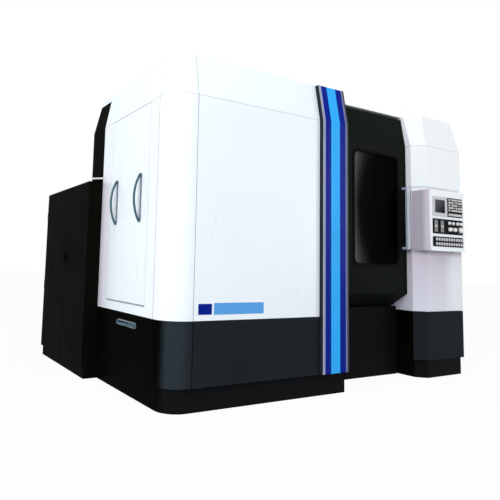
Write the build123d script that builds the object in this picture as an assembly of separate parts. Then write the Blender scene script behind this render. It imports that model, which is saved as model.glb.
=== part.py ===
from build123d import *
import os

# Gear hobbing machine in millimetres: +X to the right, +Y to the rear, +Z up.
# While it is built, X and Y start at the front left corner of the left enclosure.

# Sheet metal of the enclosure
sheet = 3
panel_flange = 20
seam = 5
tube = 50
fold_height = 2200
band_rise = 306
band_lean = 58
base_line = 610
plinth_height = 160
plinth_setback = 22
top_height = fold_height + band_rise
fold_groove = 1.5
cut = 5

# Left enclosure
corner_radius = 186
corner_flat = 20
front_end = 1360
side_end = 1310
rear_plane = 1605
corner_reach = corner_radius + corner_flat

# Access hatch and lower cover of the left side
hatch_start = 353
hatch_width = 745
hatch_bottom = 693
hatch_slot = 12
bow_length = 374
bow_depth = 52
bow_radius = 9
bow_foot_radius = 16
bow_foot_height = 12
bow_strip_width = 44
bow_strip = 4
bow_centre = 1490
lower_bow_length = 350
lower_bow_centre = 533
bow_inset_share = 0.185
lower_bow_share = 0.404

# Striped fascia
fascia_width = 285
fascia_proud = 30
fascia_bottom = 170
fascia_trim = 14
fascia_trim_rise = 4
left_end = front_end + seam + fascia_width

# Sliding door
door_plane = 225
door_overlap = 50
door_depth = 40
door_bottom = 772
skirt_run = 205
skirt_drop = 138
door_rise = 280
door_lean = 50
door_gap = 4
door_travel = 940
window_width = 602
window_height = 1047
window_bottom = 1037
window_right_margin = 113
window_radius = 60
gasket_lip = 14
gasket_rise = 5
gasket_wall = 10
glass = 8
handle_length = 600
handle_bottom = 1190
handle_width = 46
handle_thick = 24
handle_standoff = 66
handle_bend = 18
handle_margin = 20

# Door header, rail and blocks
header_plane = 372
header_depth = 60
header_drop = 170
rail_height = 30
rail_depth = 24
block_length = 110
block_wall = 16
run_gap = 0.3

# Apron and chip tray under the door
apron_plane = 362
apron_top = 644
bed_top = 600

# Console housing
console_left = 2709
console_right = 3337
console_plane = 71
console_chamfer = 96
console_depth = 456
console_wall_end = 700
console_recess = 12
box_bottom = 1183
upper_cover_bottom = 1800

# Operation box
box_offset = 13
box_left = console_left + box_offset
box_width = 524
box_front = -24
box_height = 575
box_wall = 3
box_round = 8
box_lip = 12
box_lip_height = 16
plate = 4
display_width = 216
display_height = 184
screen_width = 152
screen_height = 124
keyboard_width = 232
row_gap = 26
keyboard_gap = 10
row_side = 34
row_top = 62
middle_height = 142
lower_height = 94
key_height = 4
key_rows = 6
key_columns = 7
lower_key_columns = 8
key_share = 0.66
softkey_width = 46
softkey_height = 112
button_radius = 13
button_height = 14
button_travel = 4
button_clear = 0.4
knob_radius = 19
knob_height = 18
stop_radius = 24
stop_height = 26
stop_stem_radius = 12
stop_travel = 6

# Electrical cabinet
cabinet_overhang = 124
cabinet_depth = 600
cabinet_end = 2640
cabinet_height = 1704
cabinet_sheet = 4
cabinet_plinth = 100
cabinet_door_depth = 22
cabinet_door_margin = 26
cabinet_door_gap = 4
hinge_radius = 9
hinge_length = 90
latch_length = 120
latch_width = 30
latch_depth = 20
drive_depth = 180
drive_height = 380
drive_count = 5
hood_gap = 36

# Bed and levelling pads
bed_left = 400
bed_right = 3180
bed_half = 350
bed_wall = 40
bed_floor = 60
bed_cells = 5
pad_radius = 60
pad_pairs = 4

# Column, guide rails and radial screw
y_axis = 830
column_front = 1300
column_depth = 620
column_half = 330
column_top = 2120
column_wall = 45
column_taper = 180
rail_width = 45
guide_height = 40
column_rail_half = 270
guide_block = 120
guide_block_wall = 28
guide_cover = 21
column_travel = 220
screw_radius = 20
screw_clear = 0.05
screw_height = 645
bearing_half = 40
bearing_length = 40
motor_size = 130
motor_length = 200

# Axial carriage
axial_rail_half = 190
axial_rail_depth = 30
axial_rail_bottom = 760
rail_overrun = 100
carriage_gap = 10
carriage_depth = 120
carriage_half = 270
carriage_height = 520
head_height = 1400
axial_travel = 300

# Swivel head and hob slide
swivel_radius = 230
swivel_depth = 55
head_depth = 65
head_half = 210
head_rise = 165
tongue_depth = 30
tongue_half = 90
tongue_flare = 18
slide_depth = 80
slide_overrun = 15
slide_rise = 135
spindle_offset = 120
shift_travel = 75
housing_radius = 90
housing_end = 300
housing_start = 92
support_start = 108
support_end = 190
arbor_radius = 16
arbor_clear = 0.05
spindle_motor_length = 150
spindle_motor_radius = 86

# Hob
hob_radius = 55
hob_length = 140
hob_pitch = 18.85
hob_tooth_depth = 13
hob_tip_share = 0.26
hob_root_share = 0.2
hob_gashes = 9
hob_gash_depth = 19
hob_gash_width = 15
hob_collar_radius = 34

# Rotary table
table_x = 2150
table_housing_radius = 250
table_housing_top = 960
table_radius = 200
table_rim = 30
table_gap = 0.5
table_height = 80
table_hub_radius = 110
table_hub_depth = 60
table_bore_radius = 40
slot_count = 8
slot_width = 14
slot_foot = 24
slot_depth = 24
slot_start_radius = 95
arbor_flange_radius = 88
arbor_flange_height = 34
work_arbor_radius = 30
work_arbor_height = 290
arbor_end_radius = 20
arbor_end_height = 28
spigot_clear = 0.05

# Counter column and tailstock
counter_left = 2640
counter_depth = 400
counter_half = 210
counter_top = 2180
counter_rail_half = 130
tail_height = 1950
tail_travel = 330
tail_carriage_depth = 90
tail_carriage_height = 380
tail_arm_half = 75
tail_arm_height = 190
nose_radius = 50
nose_length = 110
centre_radius = 20
centre_cone = 48
centre_shank = 60

# Work area walls, light and rear panels
back_wall_plane = 1300
light_length = 420
light_size = 60
rear_panel_count = 3
louvre_count = 9
louvre_width = 380
louvre_height = 12
louvre_pitch = 34
louvre_bottom = 1500

solids = {}


def block(x0, x1, y0, y1, z0, z1):
    """A box between two corners."""
    low = (Align.MIN, Align.MIN, Align.MIN)
    return Pos(x0, y0, z0) * Box(x1 - x0, y1 - y0, z1 - z0, align=low)


def rod(radius, length):
    """A cylinder that stands on the origin."""
    return Cylinder(radius, length, align=(Align.CENTER, Align.CENTER, Align.MIN))


def rod_x(y, z, x0, x1, radius):
    return Pos(x0, y, z) * Rot(0, 90, 0) * rod(radius, x1 - x0)


def rod_y(x, z, y0, y1, radius):
    return Pos(x, y0, z) * Rot(-90, 0, 0) * rod(radius, y1 - y0)


def rod_z(x, y, z0, z1, radius):
    return Pos(x, y, z0) * rod(radius, z1 - z0)


def yz_plane(x):
    """A plane at x whose sketch axes are Y and Z."""
    return Plane(origin=(x, 0, 0), x_dir=(0, 1, 0), z_dir=(1, 0, 0))


def xz_plane(y):
    """A plane at y whose sketch axes are X and Z."""
    return Plane.XZ.offset(-y)


def prism_x(face, x0, x1):
    return extrude(yz_plane(x0) * face, amount=x1 - x0)


def prism_y(face, y0, y1):
    return extrude(xz_plane(y0) * face, amount=y0 - y1)


def prism_z(face, z0, z1):
    return extrude(Plane.XY.offset(z0) * face, amount=z1 - z0)


def outline(*points):
    return make_face(Polyline(*points, close=True))


def shift_line(points, distance):
    """A bent line moved to its right by a distance, with mitred corners."""
    runs = [Vector(*b) - Vector(*a) for a, b in zip(points, points[1:])]
    normals = [Vector(run.Y, -run.X).normalized() for run in runs]
    moved = []
    for i, point in enumerate(points):
        before = normals[max(i - 1, 0)]
        after = normals[min(i, len(normals) - 1)]
        mitre = (before + after) * (distance / (1 + before.dot(after)))
        moved.append((point[0] + mitre.X, point[1] + mitre.Y))
    return moved


def ribbon(points, thickness):
    """The section of a bent sheet along a line, thickened to the line's right."""
    return outline(*points, *reversed(shift_line(points, thickness)))


def lipped(line, depth):
    """A panel's section line with both ends folded inwards."""
    return [(line[0][0] + depth, line[0][1]), *line, (line[-1][0] + depth, line[-1][1])]


def pan(place, line, start, end, depth, side=1):
    """A panel with folded edges: its section line, run from start to end by place.

    The side is 1 where the inside lies to the right of the line, and -1 to its left."""
    body = place(ribbon(lipped(line, side * depth), side * sheet), start, end)
    for at in (start, end - sheet):
        body += place(ribbon(line, side * depth), at, at + sheet)
    return body


def add(name, body):
    """Put a body's solids into a node, beside any that it already holds."""
    solids.setdefault(name, []).extend(body.solids())


# Section lines of the enclosure: distance in from the outer face, and height
white_line = [
    (0, base_line + seam / 2),
    (0, fold_height),
    (band_lean, top_height),
]
charcoal_line = [(0, plinth_height + seam), (0, base_line - seam / 2)]
hatch_line = [(0, hatch_bottom), (0, fold_height - seam)]
groove_line = [(-cut, fold_height - seam / 2), (-cut, fold_height + seam / 2)]


# White and charcoal panels of the left enclosure
def turn_corner(section):
    """A section turned round the rounded front left corner."""
    pivot = Axis((corner_radius, corner_radius, 0), (0, 0, 1))
    return revolve(xz_plane(corner_radius) * section, pivot, 90)


def corner_pan(line):
    """A rounded corner panel with a short flat at each end."""
    section = ribbon(lipped(line, panel_flange), sheet)
    edge = ribbon(line, panel_flange)
    flat_end = corner_reach - seam / 2
    body = turn_corner(section)
    for place in (prism_x, prism_y):
        body += place(section, corner_radius, flat_end)
        body += place(edge, flat_end - sheet, flat_end)
    return body


panel_start = corner_reach + seam / 2
hatch_end = hatch_start + hatch_width
hatch_hole = block(
    -cut, panel_flange, hatch_start - seam, hatch_end + seam, hatch_bottom - hatch_slot, fold_height
)
groove_section = ribbon(groove_line, cut + fold_groove)
front_groove = prism_x(groove_section, corner_radius, front_end + cut)
side_groove = prism_y(groove_section, corner_radius, side_end)
corner_groove = turn_corner(groove_section)
for place in (prism_x, prism_y):
    corner_groove += place(groove_section, corner_radius, panel_start)
side_panel = pan(prism_y, white_line, panel_start, side_end - seam, panel_flange)
front_panel = pan(prism_x, white_line, panel_start, front_end, panel_flange)
add("corner_panel", corner_pan(white_line) - corner_groove)
add("front_panel", front_panel - front_groove)
add("left_side_panel", side_panel - hatch_hole - side_groove)
add("access_hatch", pan(prism_y, hatch_line, hatch_start, hatch_end, panel_flange))
add("base_panels", corner_pan(charcoal_line))
add("base_panels", pan(prism_x, charcoal_line, panel_start, front_end, panel_flange))
cover_end = side_end - tube / 2
add("lower_cover", pan(prism_y, charcoal_line, panel_start, cover_end - seam, panel_flange))
add("base_panels", block(0, panel_flange, cover_end, side_end, charcoal_line[0][1], charcoal_line[1][1]))


# Bow handles of the hatch and the lower cover
def bow_handle(length):
    """A bowed round bar on two feet, along Z and standing out towards -X."""
    foot = length / 2 - bow_foot_radius
    arc = ThreePointArc((-bow_foot_height, -foot), (-bow_depth, 0), (-bow_foot_height, foot))
    path = Plane.XZ * arc
    bar = sweep(Plane(path @ 0, z_dir=path % 0) * Circle(bow_radius), path)
    for end in (-foot, foot):
        bar += Pos(-bow_foot_height, 0, end) * Rot(0, 90, 0) * rod(bow_foot_radius, bow_foot_height)
        bar += Pos(-bow_foot_height, 0, end) * Sphere(bow_radius)
    strip = RectangleRounded(length, bow_strip_width, bow_strip_width / 2 - bow_strip / 4)
    return bar + Rot(0, -90, 0) * extrude(strip, amount=bow_strip)


bow_inset = bow_inset_share * hatch_width
upper_bow = bow_handle(bow_length)
add("hatch_handles", Pos(0, hatch_start + bow_inset, bow_centre) * upper_bow)
add("hatch_handles", Pos(0, hatch_end - bow_inset, bow_centre) * upper_bow)
lower_bow = Rot(90, 0, 0) * bow_handle(lower_bow_length)
lower_bow_y = hatch_start + lower_bow_share * hatch_width
add("lower_cover_handle", Pos(0, lower_bow_y, lower_bow_centre) * lower_bow)

# Striped fascia with raised edge trims, and a deep return as the door jamb
fascia_start = front_end + seam
fascia_line = [
    (-fascia_proud, fascia_bottom),
    (-fascia_proud, fold_height),
    (band_lean - fascia_proud, top_height),
]
fascia = pan(prism_x, fascia_line, fascia_start, left_end, fascia_proud + panel_flange)
jamb_depth = fascia_proud + door_plane - 4 * door_gap
fascia += prism_x(ribbon(fascia_line, jamb_depth), left_end - sheet, left_end)
trim_section = ribbon(shift_line(fascia_line, -fascia_trim_rise), fascia_trim_rise)
for trim_start in (fascia_start, left_end - fascia_trim):
    fascia += prism_x(trim_section, trim_start, trim_start + fascia_trim)
add("stripe_fascia", fascia)

# Plinth of the left enclosure: two walls round the front left corner
plinth = block(plinth_setback, left_end, plinth_setback, side_end, 0, plinth_height + seam)
plinth_corner = plinth.edges().filter_by(Axis.Z).sort_by(lambda e: (e @ 0).X + (e @ 0).Y)[0]
plinth = fillet(plinth_corner, corner_radius - plinth_setback)
add("base_panels", plinth - Pos(2 * sheet, 2 * sheet) * plinth)


# Black upper rear hood, leaning in at its left and rear
def leaning_hood(inset):
    start = side_end + inset
    side = outline(
        (inset, hood_bottom + inset),
        (inset, fold_height),
        (band_lean + inset, top_height - inset),
        (hood_right - inset, top_height - inset),
        (hood_right - inset, hood_bottom + inset),
    )
    rear = outline(
        (start, hood_bottom + inset),
        (start, top_height - inset),
        (rear_plane - band_lean - inset, top_height - inset),
        (rear_plane - inset, fold_height),
        (rear_plane - inset, hood_bottom + inset),
    )
    return prism_y(side, start, rear_plane) & prism_x(rear, 0, hood_right)


hood_bottom = cabinet_height + hood_gap
hood_right = cabinet_depth - cabinet_overhang + tube
add("rear_covers", leaning_hood(0) - leaning_hood(sheet))

# Rear panels with louvres, the last one trimmed to the leaning right side
rear_line = [
    (rear_plane, plinth_height),
    (rear_plane, fold_height),
    (rear_plane - band_lean, top_height),
]
right_lean = outline(
    (hood_right, 0),
    (hood_right, top_height),
    (console_right - band_lean, top_height),
    (console_right, fold_height),
    (console_right, 0),
)
rear_span = prism_y(right_lean, side_end, rear_plane + cut)
rear_width = (console_right - hood_right) / rear_panel_count
for n in range(rear_panel_count):
    start = hood_right + seam + n * rear_width
    body = pan(prism_x, rear_line, start, start + rear_width - seam, panel_flange, side=-1)
    middle = start + (rear_width - seam) / 2
    for k in range(louvre_count):
        z = louvre_bottom + k * louvre_pitch
        body -= block(
            middle - louvre_width / 2,
            middle + louvre_width / 2,
            rear_plane - panel_flange / 2,
            rear_plane + cut,
            z,
            z + louvre_height,
        )
    add("rear_covers", body & rear_span)

# Right side panels, trimmed to the leaning rear
rear_lean = outline(
    (0, 0),
    (0, top_height),
    (rear_plane - band_lean - panel_flange - seam, top_height),
    (rear_plane - panel_flange - seam, fold_height),
    (rear_plane - panel_flange - seam, 0),
)
right_span = prism_x(rear_lean, 0, console_right + cut)
for name, line in (("right_side_panel", white_line), ("base_panels", charcoal_line)):
    right_line = [(console_right - d, z) for d, z in line]
    start = console_wall_end + seam
    body = pan(prism_y, right_line, start, rear_plane, panel_flange, side=-1)
    add(name, body & right_span)

# Console housing: its plan line runs round the left wall, chamfer, front and right wall
console_plan = [
    (console_left, console_depth),
    (console_left, console_plane + console_chamfer),
    (console_left + console_chamfer, console_plane),
    (console_right, console_plane),
    (console_right, console_wall_end),
]


def console_wall(inset, thickness, z0, z1):
    """A wall along the console's plan line, moved in by an inset."""
    return prism_z(ribbon(shift_line(console_plan, -inset), -thickness), z0, z1)


recess_depth = console_recess + sheet
lower_cover_body = console_wall(0, sheet, base_line + seam / 2, box_bottom)
lower_cover_body += console_wall(0, recess_depth, box_bottom - sheet, box_bottom)
add("console_covers", lower_cover_body)
add("console_covers", console_wall(console_recess, sheet, box_bottom, upper_cover_bottom))
upper_cover_body = console_wall(0, sheet, upper_cover_bottom, fold_height)
upper_cover_body += console_wall(0, recess_depth, upper_cover_bottom, upper_cover_bottom + sheet)
leant = shift_line(console_plan, -band_lean)
leant_slope = (leant[2][1] - leant[1][1]) / (leant[2][0] - leant[1][0])
leant_corner = leant[1][1] + leant_slope * (console_left - leant[1][0])
console_roof_line = [(console_left, console_depth), (console_left, leant_corner), *leant[2:]]
band_foot = Plane.XY.offset(fold_height) * ribbon(console_plan, -sheet)
band_head = Plane.XY.offset(top_height) * ribbon(console_roof_line, -sheet)
upper_cover_body += loft([band_foot, band_head], ruled=True)
add("console_covers", upper_cover_body)
base_bottom = plinth_height + seam
console_base = console_wall(0, sheet, base_bottom, base_line - seam / 2)
console_base += console_wall(0, plinth_setback + 2 * sheet, base_bottom - sheet, base_bottom)
add("base_panels", console_base)
plinth_plan = [*console_plan[:-1], (console_right, rear_plane), (hood_right, rear_plane)]
plinth_line = shift_line(plinth_plan, -plinth_setback)
add("base_panels", prism_z(ribbon(plinth_line, -2 * sheet), 0, base_bottom - sheet))

# Roof panels, resting on the leaning bands
roof_end = rear_plane - band_lean
left_roof = block(band_lean, left_end, band_lean, roof_end, top_height, top_height + sheet)
roof_corner = left_roof.edges().filter_by(Axis.Z).sort_by(lambda e: (e @ 0).X + (e @ 0).Y)[0]
add("roof_panels", fillet(roof_corner, corner_radius - band_lean))
door_top_plane = door_plane + door_lean
right_roof = outline(
    (left_end + seam, door_top_plane),
    (console_roof_line[1][0], door_top_plane),
    *console_roof_line[1:4],
    (console_right - band_lean, roof_end),
    (left_end + seam, roof_end),
)
add("roof_panels", prism_z(right_roof, top_height, top_height + sheet))

# Sliding door: a bent pan with a slanted skirt below and a leaning band above
door_left = left_end - door_overlap
door_right = console_left - door_gap
door_line = [
    (door_plane + skirt_run, door_bottom - skirt_drop),
    (door_plane, door_bottom),
    (door_plane, fold_height),
    (door_plane + door_lean, fold_height + door_rise),
]
window_x = door_right - window_right_margin - window_width / 2
window_z = window_bottom + window_height / 2


def window_slab(grow, y0, y1):
    """A rounded slab of the window's outline, grown on every side."""
    width = window_width + 2 * grow
    height = window_height + 2 * grow
    face = Pos(window_x, window_z) * RectangleRounded(width, height, window_radius + grow)
    return prism_y(face, y0, y1)


door_hole = window_slab(0, door_plane - cut, door_plane + door_depth + cut)
door_edge = ribbon(door_line, door_depth)
door_panel = prism_x(ribbon(door_line, sheet), door_left, door_right)
for at in (door_left, door_right - sheet):
    door_panel += prism_x(door_edge, at, at + sheet)
liner_line = shift_line(door_line, door_depth - sheet)
door_liner = prism_x(ribbon(liner_line, sheet), door_left + sheet, door_right - sheet)
add("door_panel", door_panel + door_liner - door_hole)
glass_front = door_plane + gasket_wall
gasket = window_slab(0, door_plane, door_plane + door_depth)
gasket += window_slab(gasket_lip, door_plane - gasket_rise, door_plane)
gasket -= window_slab(-gasket_wall, door_plane - gasket_rise - cut, door_plane + door_depth + cut)
pane = window_slab(-gasket_wall / 2, glass_front, glass_front + glass)
add("window_gasket", gasket - pane)
add("door_window", pane)


# Pull handle: a bar bent back to the door at both ends
handle_x = door_right - handle_margin - handle_width
bar_line = [
    (door_plane, handle_bottom),
    (door_plane - handle_standoff, handle_bottom),
    (door_plane - handle_standoff, handle_bottom + handle_length),
    (door_plane, handle_bottom + handle_length),
]
handle = prism_x(ribbon(bar_line, handle_thick), handle_x, handle_x + handle_width)
outer_bends = handle.edges().filter_by(Axis.X).group_by(Axis.Y)[0]
handle = fillet(outer_bends, handle_bend)
add("door_handle", handle)

# Door header with its linear rail, and the blocks that carry the door
header_bottom = top_height - header_drop
header_start = door_left - door_travel
add(
    "door_header",
    block(
        header_start,
        console_left,
        header_plane,
        header_plane + header_depth,
        header_bottom,
        top_height,
    )
    - block(
        header_start - cut,
        console_left + cut,
        header_plane + 2 * sheet,
        header_plane + header_depth + cut,
        header_bottom + 2 * sheet,
        top_height - 2 * sheet,
    ),
)
rail_z = header_bottom + header_drop / 2
rail_front = header_plane - rail_depth
door_rail = block(
    header_start,
    console_left - door_gap,
    rail_front,
    header_plane,
    rail_z - rail_height / 2,
    rail_z + rail_height / 2,
)
add("door_header", door_rail)


def door_block(start):
    """A block that grips the rail, with an arm forward to the door's liner."""
    end = start + block_length
    grip = rail_height / 2 + run_gap
    front = rail_front - run_gap - block_wall
    low = rail_z - grip - block_wall
    high = rail_z + grip + block_wall
    groove = rail_front - run_gap
    body = block(start, end, front, header_plane - cut, low, high)
    body -= block(start - cut, end + cut, groove, header_plane, rail_z - grip, rail_z + grip)
    lean_at = door_lean * (rail_z - fold_height) / door_rise
    arm = outline(
        (header_plane - cut, low),
        (header_plane - cut, header_bottom),
        (front, fold_height - block_length),
        (liner_line[1][0] + sheet, fold_height - block_length),
        (liner_line[1][0] + sheet, fold_height - 2 * block_wall),
        (door_plane + lean_at + door_depth, low),
    )
    return body + prism_x(arm, start, end)


blocks = door_block(door_left + block_length) + door_block(door_right - 2 * block_length)
add("door_rail_blocks", blocks)

# Apron and chip tray under the door
apron = block(left_end, console_left, apron_plane, apron_plane + sheet, 0, apron_top)
apron_end_top = door_bottom - skirt_drop - 2 * door_gap
apron += block(left_end, left_end + sheet, panel_flange, apron_plane, 0, apron_end_top)
add("base_panels", apron)
tray_front = apron_plane + sheet
table_hole = rod_z(table_x, y_axis, 0, top_height, table_housing_radius + seam)
counter_hole = block(
    counter_left - seam,
    console_right,
    y_axis - counter_half - seam,
    y_axis + counter_half + seam,
    0,
    top_height,
)
rails_end = column_front + column_travel + 2 * bearing_length
tray = block(rails_end, console_left, tray_front, back_wall_plane, bed_top, bed_top + sheet)
add("work_area_liner", tray - table_hole - counter_hole)

# Work area walls and light
right_wall = block(
    console_left,
    console_left + sheet,
    console_depth + seam,
    back_wall_plane,
    bed_top,
    top_height - header_drop,
)
add("work_area_liner", right_wall - counter_hole)
back_wall = block(
    rails_end,
    console_left + sheet,
    back_wall_plane,
    back_wall_plane + sheet,
    bed_top,
    top_height - header_drop,
)
add("work_area_liner", back_wall)
light_z = fold_height - light_size
light = block(
    table_x - light_length / 2,
    table_x + light_length / 2,
    back_wall_plane - light_size,
    back_wall_plane,
    light_z,
    light_z + light_size,
)
light_edges = light.edges().filter_by(Axis.X).group_by(Axis.Y)[0]
add("work_light", chamfer(light_edges, light_size / 3))

# Tube frame behind the panels
frame_in = panel_flange + tube
frame_top = fold_height - seam
frame_tops = (base_bottom + tube, base_line + tube / 2, frame_top)
left_posts = (corner_radius + tube / 2, hatch_start, hatch_end)
rear_inner = rear_plane - panel_flange - tube
right_inner = console_right - panel_flange - tube
console_post = console_left + console_chamfer + recess_depth
console_front = console_plane + recess_depth
link_end = corner_radius + tube
left_inner = console_left + recess_depth
jamb_post = left_end - sheet - tube
frame_tubes = []


def add_tube(*corners):
    """Add a tube of the frame, cut back where it meets the tubes before it."""
    body = block(*corners)
    add("enclosure_frame", body - frame_tubes if frame_tubes else body)
    frame_tubes.append(body)


for y in left_posts:
    add_tube(panel_flange, frame_in, y - tube / 2, y + tube / 2, base_bottom, frame_top)
add_tube(panel_flange, frame_in, side_end - tube, side_end, base_bottom, frame_top)
for x0, x1 in (
    (corner_radius, link_end),
    (front_end - tube, front_end + tube),
    (jamb_post, left_end - sheet),
):
    add_tube(x0, x1, panel_flange, frame_in, base_bottom, frame_top)
for x, y in (
    (console_post, console_front),
    (right_inner, console_front),
    (right_inner, console_wall_end - tube / 2),
    (left_inner, console_depth - tube),
    (right_inner, rear_inner),
):
    add_tube(x, x + tube, y, y + tube, base_bottom, frame_top)
for n in range(rear_panel_count):
    x = hood_right + n * rear_width
    add_tube(x, x + tube, rear_inner, rear_inner + tube, base_bottom, frame_top)
for top in frame_tops:
    low = top - tube
    add_tube(panel_flange, frame_in, corner_radius, side_end, low, top)
    add_tube(corner_radius, left_end - sheet, panel_flange, frame_in, low, top)
    add_tube(panel_flange, link_end, corner_radius, link_end, low, top)
    add_tube(corner_radius, link_end, panel_flange, link_end, low, top)
    add_tube(panel_flange, hood_right + tube, side_end - tube, side_end, low, top)
    add_tube(hood_right, hood_right + tube, side_end - tube, rear_plane - panel_flange, low, top)
    add_tube(hood_right, right_inner + tube, rear_inner, rear_plane - panel_flange, low, top)
    add_tube(right_inner, right_inner + tube, console_front, rear_inner, low, top)
    add_tube(console_post, right_inner, console_front, console_front + tube, low, top)
    add_tube(console_post, console_post + tube, console_front, console_depth, low, top)
    add_tube(left_inner, console_post, console_depth - tube, console_depth, low, top)

# Bed: a casting with open cells below, standing on levelling pads
bed = block(bed_left, bed_right, y_axis - bed_half, y_axis + bed_half, bed_floor, bed_top)
cell = (bed_right - bed_left - bed_wall) / bed_cells
for n in range(bed_cells):
    x = bed_left + bed_wall + n * cell
    pocket = block(
        x,
        x + cell - bed_wall,
        y_axis - bed_half + bed_wall,
        y_axis + bed_half - bed_wall,
        bed_floor - cut,
        bed_top - bed_wall,
    )
    bed -= fillet(pocket.edges().filter_by(Axis.Z), bed_wall)
pads = Part()
pad_pitch = (bed_right - bed_left - bed_wall) / (pad_pairs - 1)
pad_y = bed_half - bed_wall / 2
for n in range(pad_pairs):
    x = bed_left + bed_wall / 2 + n * pad_pitch
    for y in (y_axis - pad_y, y_axis + pad_y):
        pads += rod_z(x, y, 0, bed_floor, pad_radius)
add("bed", bed)
add("levelling_pads", pads)

# Radial guide rails, with the guide blocks under the column
column_rear = column_front - column_depth
column_foot = bed_top + guide_height + guide_cover
rails = Part()
guide_blocks = Part()
for side in (-1, 1):
    y = y_axis + side * column_rail_half
    rails += block(
        bed_left, rails_end, y - rail_width / 2, y + rail_width / 2, bed_top, bed_top + guide_height
    )
    for x in (column_rear, column_front - guide_block):
        grip = rail_width / 2 + run_gap
        body = block(
            x,
            x + guide_block,
            y - grip - guide_block_wall,
            y + grip + guide_block_wall,
            bed_top + guide_height / 4,
            column_foot,
        )
        top_gap = bed_top + guide_height + run_gap
        body -= block(x - cut, x + guide_block + cut, y - grip, y + grip, bed_top, top_gap)
        guide_blocks += body
add("guide_rails", rails)

# Column: a tapered hollow casting with the bearing bracket of the axial screw at each end
column_side = outline(
    (column_rear, column_foot),
    (column_front, column_foot),
    (column_front, column_top),
    (column_rear + column_taper, column_top),
    (column_rear, column_foot + column_depth),
)
column = prism_y(column_side, y_axis - column_half, y_axis + column_half)
hollow = outline(
    (column_rear + column_wall, column_foot + column_wall),
    (column_front - column_wall, column_foot + column_wall),
    (column_front - column_wall, column_top - column_wall),
    (column_rear + column_taper + column_wall, column_top - column_wall),
    (column_rear + column_wall, column_foot + column_depth),
)
hollow_half = column_half - column_wall
column -= prism_y(hollow, y_axis - hollow_half, y_axis + hollow_half)
nut_x = column_front - column_depth / 2
column += block(
    nut_x - bearing_half,
    nut_x + bearing_half,
    y_axis - bearing_half,
    y_axis + bearing_half,
    screw_height - bearing_half,
    column_foot,
)
axial_screw_x = column_front + carriage_gap + carriage_depth / 2
bracket_end = axial_screw_x + bearing_half
for z in (axial_rail_bottom - bearing_length, column_top - bearing_length):
    column += block(
        column_front, bracket_end, y_axis - bearing_half, y_axis + bearing_half, z, z + bearing_length
    )
bore = screw_radius + screw_clear
column -= rod_x(y_axis, screw_height, column_rear, column_front, bore)
axial_screw_bottom = axial_rail_bottom - bearing_length
column -= rod_z(axial_screw_x, y_axis, axial_screw_bottom - cut, column_top + cut, bore)
add("column", column)
add("column", guide_blocks)

# Radial ball screw in its end bearings, and its motor
bearings = Part()
for x in (bed_left, rails_end - bearing_length):
    bearings += block(
        x,
        x + bearing_length,
        y_axis - bearing_half,
        y_axis + bearing_half,
        bed_top,
        screw_height + bearing_half,
    )
bearings -= rod_x(y_axis, screw_height, bed_left - cut, rails_end + cut, bore)
add("bed", bearings)
add("radial_screw", rod_x(y_axis, screw_height, bed_left + run_gap, rails_end, screw_radius))


def motor(length):
    """A servo motor body that stands on the origin, with a narrower rear cap."""
    cap = length / 4
    body = Box(motor_size, motor_size, length - cap, align=(Align.CENTER, Align.CENTER, Align.MIN))
    body = chamfer(body.edges().filter_by(Axis.Z), motor_size / 8)
    return body + Pos(0, 0, length - cap) * rod(motor_size / 2 - motor_size / 8, cap)


add("servo_motors", Pos(bed_left, y_axis, screw_height) * Rot(0, -90, 0) * motor(motor_length))

# Axial guide rails, ball screw, motor and carriage
axial_rails = Part()
axial_rail_top = head_height + axial_travel + carriage_height / 2 + rail_overrun
carriage_front = column_front + carriage_gap + carriage_depth
carriage = block(
    column_front + carriage_gap,
    carriage_front,
    y_axis - carriage_half,
    y_axis + carriage_half,
    head_height - carriage_height / 2,
    head_height + carriage_height / 2,
)
carriage = chamfer(carriage.edges().filter_by(Axis.X), carriage_depth / 4)
for side in (-1, 1):
    y = y_axis + side * axial_rail_half
    half = rail_width / 2
    rail_face = column_front + axial_rail_depth
    axial_rails += block(
        column_front, rail_face, y - half, y + half, axial_rail_bottom, axial_rail_top
    )
    carriage -= block(
        column_front, rail_face + run_gap, y - half - run_gap, y + half + run_gap, 0, top_height
    )
carriage -= rod_z(axial_screw_x, y_axis, 0, top_height, bore)
add("axial_rails", axial_rails)
add("axial_carriage", carriage)
screw_top = column_top - run_gap
add("axial_screw", rod_z(axial_screw_x, y_axis, axial_screw_bottom, screw_top, screw_radius))
add("axial_motor", Pos(axial_screw_x, y_axis, column_top) * motor(motor_length))

# Swivel head with a dovetail tongue for the hob slide
swivel_front = carriage_front + swivel_depth
head_front = swivel_front + head_depth
head = rod_x(y_axis, head_height, carriage_front + run_gap, swivel_front, swivel_radius)
head_block = block(
    swivel_front,
    head_front,
    y_axis - head_half,
    y_axis + head_half,
    head_height - head_rise,
    head_height + head_rise,
)
head += chamfer(head_block.edges().filter_by(Axis.X), head_depth)


def tongue(gap):
    """The dovetail section, grown by a running gap."""
    root = tongue_half - tongue_flare + 2 * gap
    tip = tongue_half + 2 * gap
    tip_x = head_front + tongue_depth + gap
    return outline(
        (head_front, head_height - root),
        (tip_x, head_height - tip),
        (tip_x, head_height + tip),
        (head_front, head_height + root),
    )


head += prism_y(tongue(0), y_axis - head_half, y_axis + head_half)
add("swivel_head", head)

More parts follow.
